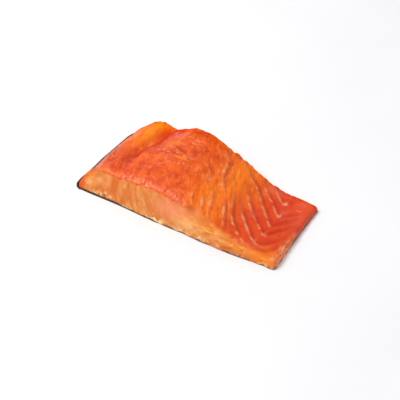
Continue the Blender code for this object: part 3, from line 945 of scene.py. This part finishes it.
def smoked_flesh():
    """Hot smoked salmon: oily, orange red, with a leathery satin top and paler matt cuts."""
    material, tree, shader, place = new_material("hot_smoked_flesh", {
        "IOR": 1.4, "Subsurface Weight": 0.1,
        "Subsurface Radius": (1.0, 0.35, 0.15), "Subsurface Scale": 2 * MM})
    vectors = {"place": place}
    for name in ("grain", "fibre"):
        vectors[name] = add_node(tree, 'ShaderNodeAttribute', {}, attribute_name=name)["Vector"]
    for name, (source, turn, scale) in FLESH_STRETCHES.items():
        vectors[name] = add_node(tree, 'ShaderNodeMapping', {
            "Vector": vectors[source], "Rotation": (0, turn, 0), "Scale": scale})["Vector"]
    masks = noted(tree, FLESH_NOTES)
    masks.update(patterns(tree, FLESH_PATTERNS, vectors))
    top = paint(tree, hex_color("#D6480C"), TOP_LAYERS, masks)
    face = paint(tree, hex_color("#E17D36"), CUT_LAYERS, masks)
    color = add_node(tree, 'ShaderNodeMix', {FACTOR: masks["wall"], COLOR_A: top, COLOR_B: face},
                     data_type='RGBA')[COLOR_OUT]
    tree.links.new(color, shader.inputs["Base Color"])

    # satin on top, matt on the cuts, and no gloss where the surface has dried
    satin = add_node(tree, 'ShaderNodeMapRange', {
        "Value": masks["shaded"], "To Min": 0.3, "To Max": 0.5})["Result"]
    roughness = add_node(tree, 'ShaderNodeMix', {
        FACTOR: masks["wall"], VALUE_A: satin, VALUE_B: 0.6})[VALUE_OUT]
    tree.links.new(roughness, shader.inputs["Roughness"])
    gloss = add_node(tree, 'ShaderNodeMapRange', {
        "Value": masks["dry"], "To Min": 0.3, "To Max": 0})["Result"]
    tree.links.new(gloss, shader.inputs["Specular IOR Level"])

    # wrinkles of the dried surface, and fibres of the cuts
    wrinkles = add_node(tree, 'ShaderNodeTexNoise', {
        "Vector": vectors["grain"], "Scale": 1 / MM / WRINKLE_SIZE, "Detail": 4})["Fac"]
    wrinkles = add_node(tree, 'ShaderNodeMath', {0: wrinkles, 1: masks["leathery"]}, operation='MULTIPLY')[0]
    threads = add_node(tree, 'ShaderNodeTexNoise', {
        "Vector": vectors["fibre"], "Scale": 1 / MM / THREAD_SIZE, "Detail": 3})["Fac"]
    height = add_node(tree, 'ShaderNodeMix', {
        FACTOR: masks["wall"], VALUE_A: wrinkles, VALUE_B: threads})[VALUE_OUT]
    bump = add_node(tree, 'ShaderNodeBump', {
        "Height": height, "Strength": 0.6, "Distance": 0.7 * MM})["Normal"]
    tree.links.new(bump, shader.inputs["Normal"])
    return material


def salmon_skin():
    """Smoked salmon skin: thin, satin, dark bronze at the back, greyer and silvery towards the belly."""
    material, tree, shader, place = new_material("smoked_salmon_skin", {"Roughness": 0.5})
    slanted = add_node(tree, 'ShaderNodeMapping', {
        "Vector": place, "Rotation": (0, 0, math.radians(45)), "Scale": (1, 0.75, 1)})["Vector"]
    scales = add_node(tree, 'ShaderNodeTexVoronoi', {
        "Vector": slanted, "Scale": 1 / MM / SCALE_SIZE, "Randomness": 0.35},
        feature='DISTANCE_TO_EDGE')["Distance"]
    masks = patterns(tree, SKIN_PATTERNS, {"place": place})
    across = add_node(tree, 'ShaderNodeSeparateXYZ', {"Vector": place})["X"]
    masks["grey"] = add_node(
        tree, 'ShaderNodeMapRange', {
            "Value": across, "From Min": SKIN_GREY_START, "From Max": SKIN_GREY_FULL},
        interpolation_type='SMOOTHSTEP')["Result"]
    masks["pocket edge"] = add_node(tree, 'ShaderNodeMapRange', {
        "Value": scales, "From Min": 0.22, "From Max": 0.02})["Result"]
    tree.links.new(paint(tree, hex_color("#523C2A"), SKIN_LAYERS, masks), shader.inputs["Base Color"])
    gloss = add_node(tree, 'ShaderNodeMapRange', {
        "Value": masks["grey"], "To Min": 0, "To Max": 0.35})["Result"]
    tree.links.new(gloss, shader.inputs["Specular IOR Level"])
    bump = add_node(tree, 'ShaderNodeBump', {
        "Height": scales, "Strength": 0.4, "Distance": 0.2 * MM})["Normal"]
    tree.links.new(bump, shader.inputs["Normal"])
    return material


def pale_board():
    """Pale painted board: smooth and matt, with a very faint unevenness."""
    material, tree, shader, place = new_material("pale_painted_board", {"Roughness": 0.6})
    masks = patterns(tree, {"cloudy": ("place", 150, 2, 0.3, 0.7)}, {"place": place})
    color = paint(tree, hex_color("#F6F6F8"), (("#F3F3F6", 1.0, "cloudy"),), masks)
    tree.links.new(color, shader.inputs["Base Color"])
    return material


def select(piece):
    """One piece selected and active, and nothing else."""
    bpy.ops.object.select_all(action='DESELECT')
    piece.select_set(True)
    bpy.context.view_layer.objects.active = piece


def edit(piece):
    """Edit mode on one piece, with nothing of it selected."""
    select(piece)
    bpy.ops.object.mode_set(mode='EDIT')
    bpy.ops.mesh.select_mode(type='EDGE')
    bpy.ops.mesh.select_all(action='DESELECT')


def start_sheet(name, across, along):
    """Flat grid of the portion's size."""
    bpy.ops.object.select_all(action='DESELECT')
    bpy.ops.mesh.primitive_grid_add(x_subdivisions=across, y_subdivisions=along, size=1, location=(0, 0, 0))
    piece = bpy.context.object
    piece.name = name
    piece.data.name = name
    edit(piece)
    bpy.ops.mesh.select_all(action='SELECT')
    bpy.ops.transform.resize(value=(WIDTH, BACK_DEPTH, 1))
    bpy.ops.object.mode_set(mode='OBJECT')
    return piece


def read_points(piece):
    points = np.empty(len(piece.data.vertices) * 3)
    piece.data.vertices.foreach_get("co", points)
    return points.reshape(-1, 3)


def write_points(piece, points):
    piece.data.vertices.foreach_set("co", np.ravel(points))
    piece.data.update()


def note(piece, name, *values):
    """Three numbers kept on every point, for the material."""
    kept = piece.data.attributes.new(name, 'FLOAT_VECTOR', 'POINT')
    kept.data.foreach_set("vector", np.ravel(np.stack(values, axis=-1)).astype(np.float32))


def patch_shares(patches, across, up, ending):
    """How strong each kind of patch is at every point, by the kind and the ending of its name."""
    shares = {}
    for kind, middle, height, wide, tall, power in patches:
        patch = power * bell(middle * MM, wide * MM, across) * bell(height * MM, tall * MM, up)
        shares[kind + ending] = shares.get(kind + ending, 0) + patch
    return {name: np.clip(share, 0, 1) for name, share in shares.items()}


def wall_share(x, y, z, s, v, w):
    """Where the flesh has the colour of a cut. The belly end has more of the top's colour."""
    ragged = WALL_RAGGED * np.clip(0.5 + cloud(x, y, z, WALL_RAGGED_SIZE), 0, 1)
    high, low = WALL_SPAN
    past_hump = smooth(*LAP_PAST_HUMP_SPAN, x) * (1 - LAP_BELLY_LOSS * smooth(*LAP_BELLY_SPAN, x))
    lap = smooth(*LAP_SPAN, v + waver(*LAP_WAVER, x, y, z))
    lap = lap * (past_hump + LAP_BACK * smooth(*LAP_BACK_SPAN, x))
    belly_end = BELLY_TINT_FRONT + (1 - BELLY_TINT_FRONT) * smooth(*BELLY_TINT_REAR_SPAN, v)
    wall = np.maximum(smooth(high - ragged, low - ragged, w), LAP * lap)
    return wall * (1 - smooth(*BELLY_TINT_SPAN, s) * belly_end)


def flesh_masks(x, y, z, s, v, w):
    """What the material has to know of every point, by the names in the table of notes."""
    from_roll = x - roll_end(v)
    run = from_roll + waver(*BACK_WAVER, x, y, z)
    aside = from_roll - groove_place(v)
    past, fat, hollow = seam_field(x, y)
    deep = (bell(*DEEP_GROOVE, aside), smooth(*DEEP_BELLY_SPAN, x),
            bell(*DEEP_HUMP, aside) * smooth(*DEEP_HUMP_SPAN, v))
    crease = GROOVE_CREASE_PLACE + GROOVE_CREASE_TURN * smooth(*GROOVE_CREASE_TURN_SPAN, v)
    crease = crease + waver(*GROOVE_CREASE_WAVER, x, y, z)
    dry_rear = smooth(*DRY_REAR_SPAN, v) * smooth(*DRY_REAR_X_SPAN, x) + smooth(*DRY_REAR_EDGE_SPAN, v)
    reach = DRIED_SHADED_BAND - DRIED_SHADED_BAND_LOSS * smooth(*DRIED_SHADED_BAND_LOSS_SPAN, v)
    height = z - FLESH_BOTTOM
    frayed = smooth(*FRAYED_SPAN, x) + smooth(*FRAYED_BACK_SPAN, x)
    streaks = STREAK_LEAST + (1 - STREAK_LEAST) * smooth(*STREAK_SPAN, cloud(x, y, z, STREAK_SIZE))
    back_streaks = BACK_STREAK_SHARE * bell(*BACK_STREAKS, x) * smooth(*BACK_STREAK_SPAN, v)
    on_face = v < 0.5
    face = {name: share * on_face for name, share in patch_shares(CUT_PATCHES, x, z, " patch").items()}
    return {
        "line": fat * bell(SEAM_CREST, LINE_WIDTH, past) * (1 - LINE_FAINT * smooth(*LINE_FAINT_SPAN, x)),
        # painted shade in the hollow behind each seam
        "hollow": hollow * bell(HOLLOW_PLACE, HOLLOW_WIDTH, past),
        # painted shade in the fine wrinkles
        "crease": creases(x, y),
        "warm": bell(*WARM_LOBE, aside) * smooth(*WARM_LOBE_SPAN, v),
        "deep": np.clip(sum(share * part for share, part in zip(DEEP_SHARES, deep)), 0, 1),
        "slope": bell(*SLOPE, x),
        "wall": wall_share(x, y, z, s, v, w),
        "flank": smooth(*FLANK_SPAN, x + waver(*FLANK_WAVER, x, y, z)),
        "rear edge": smooth(*REAR_EDGE_SPAN, v) * smooth(*TOP_EDGE_SPAN, w),
        "rim": rim_share(x, v, RIM_DEPTH) * (1 - CRUMB_LESS * smooth(*CRUMB_LESS_SPAN, x)),
        "beside the rim": rim_share(x, v, RIM_TINT_DEPTH),
        # painted shade along the crease of the groove
        "groove crease shade": bell(crease, GROOVE_CREASE_WIDTH, aside) * smooth(*GROOVE_CREASE_SPAN, v),
        "dry": np.clip(smooth(*DRY_BACK_SPAN, run) + dry_rear, 0, 1),
        # smoke dried brown band, also painted shade on the back slope
        "dried and shaded edge": smooth(reach, reach - DRIED_SHADED_BAND_FADE, run) * between(DRIED_SHADED_BAND_ENDS, v),
        "belly band": smooth(*BELLY_BAND_SPAN, x) * smooth(*BELLY_BAND_REAR_SPAN, v),
        "low": smooth(LOW_HEIGHT, 0, height) * frayed,
        "under fat": smooth(*UNDER_FAT_SPAN, x) * smooth(UNDER_FAT_HEIGHT, 0, height),
        "leathery": 1 - LEATHERY_LOSS * smooth(*LEATHERY_LOSS_SPAN, x),
        "streaky": bell(*STREAKS, x) * streaks + back_streaks,
        "wrinkly": bell(*WRINKLES, x),
        **face,
        # patches of the top: coral ones are painted highlights, blush ones painted sheen, dark ones partly
        # painted shade
        **patch_shares(TOP_PATCHES, x, y, " spot"),
    }


def make_flesh():
    """A slab is drawn down from its top, then carved to the portion's form."""
    piece = start_sheet("smoked_flesh", round(WIDTH / TOP_CELL), round(BACK_DEPTH / TOP_CELL))
    edit(piece)
    bpy.ops.mesh.select_all(action='SELECT')
    bpy.ops.mesh.region_to_loop()
    for row in range(WALL_ROWS):
        bpy.ops.mesh.extrude_edges_move(TRANSFORM_OT_translate={"value": (0, 0, -1 / WALL_ROWS)})
    bpy.ops.mesh.edge_face_add()
    bpy.ops.mesh.select_all(action='SELECT')
    bpy.ops.mesh.normals_make_consistent(inside=False)
    bpy.ops.object.mode_set(mode='OBJECT')

    slab = read_points(piece)
    s = np.clip((slab[:, 0] - X_BACK) / WIDTH, 0, 1)
    v = np.clip((slab[:, 1] - Y_FRONT) / BACK_DEPTH, 0, 1)
    w = np.clip(1 + slab[:, 2], 0, 1)
    x, y, z = flesh_point(s, v, w)
    write_points(piece, np.stack([x, y, z], axis=-1))

    masks = flesh_masks(x, y, z, s, v, w)
    for name, channels in FLESH_NOTES.items():
        note(piece, name, *(masks[channel] for channel in channels))
    across, along = along_grain(x, y)
    note(piece, "grain", across, along, 0 * x)
    note(piece, "fibre", fan(x, z), 0 * x, ALONG_FLAKES * z)
    piece.data.materials.append(smoked_flesh())
    select(piece)
    bpy.ops.object.shade_smooth_by_angle(angle=FLESH_EDGE)
    return piece


def make_skin():
    """A thin sheet under the flesh, rolled up round the back edge, then given its thickness."""
    roll_length = ROLL_REAR * ROLL_TURN
    flat_share = 1 - roll_length / (WIDTH + roll_length)
    piece = start_sheet("salmon_skin", round(WIDTH / SKIN_CELL), round(BACK_DEPTH / SKIN_CELL))
    sheet = read_points(piece)
    q = np.clip((sheet[:, 0] - X_BACK) / WIDTH, 0, 1)
    v = np.clip((sheet[:, 1] - Y_FRONT) / BACK_DEPTH, 0, 1)
    write_points(piece, np.stack(skin_point(q, v, flat_share), axis=-1))
    wall = piece.modifiers.new("wall", 'SOLIDIFY')
    wall.thickness = SKIN_THICKNESS
    wall.offset = -1
    wall.use_even_offset = True
    select(piece)
    bpy.ops.object.modifier_apply(modifier="wall")
    piece.data.materials.append(salmon_skin())
    bpy.ops.object.shade_smooth_by_angle(angle=SKIN_EDGE)
    return piece


def make_floor():
    bpy.ops.object.select_all(action='DESELECT')
    bpy.ops.mesh.primitive_plane_add(size=FLOOR_SIZE, location=(0, 0, 0))
    floor = bpy.context.object
    floor.name = "floor"
    floor.data.materials.append(pale_board())
    return floor


def light_studio():
    """A square softbox that faces the portion, and the room's own light."""
    light = bpy.data.lights.new("window", 'AREA')
    light.size = WINDOW_SIZE
    light.energy = WINDOW_POWER
    lamp = bpy.data.objects.new("window", light)
    lamp.location = WINDOW_PLACE
    lamp.rotation_euler = (-Vector(WINDOW_PLACE)).to_track_quat('-Z', 'Y').to_euler()
    bpy.context.scene.collection.objects.link(lamp)
    world = bpy.data.worlds.new("room")
    bpy.context.scene.world = world
    world.use_nodes = True
    room = world.node_tree.nodes["Background"].inputs
    room["Color"].default_value = hex_color("#FFFFFF")
    room["Strength"].default_value = ROOM_LIGHT


def make_camera():
    back = Vector((math.sin(VIEW_AZIMUTH) * math.cos(VIEW_ELEVATION),
                   -math.cos(VIEW_AZIMUTH) * math.cos(VIEW_ELEVATION),
                   math.sin(VIEW_ELEVATION)))
    data = bpy.data.cameras.new("camera")
    data.lens = LENS
    data.sensor_width = SENSOR
    camera = bpy.data.objects.new("camera", data)
    camera.location = LOOK_AT + back * VIEW_DISTANCE
    camera.rotation_euler = (-back).to_track_quat('-Z', 'Y').to_euler()
    bpy.context.scene.collection.objects.link(camera)
    bpy.context.scene.camera = camera


make_camera()
flesh = make_flesh()
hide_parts("flesh")
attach(flesh, "root")
skin = make_skin()
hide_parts("skin")
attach(skin, "root")
make_floor()
light_studio()
bpy.context.scene.view_settings.view_transform = 'Standard'
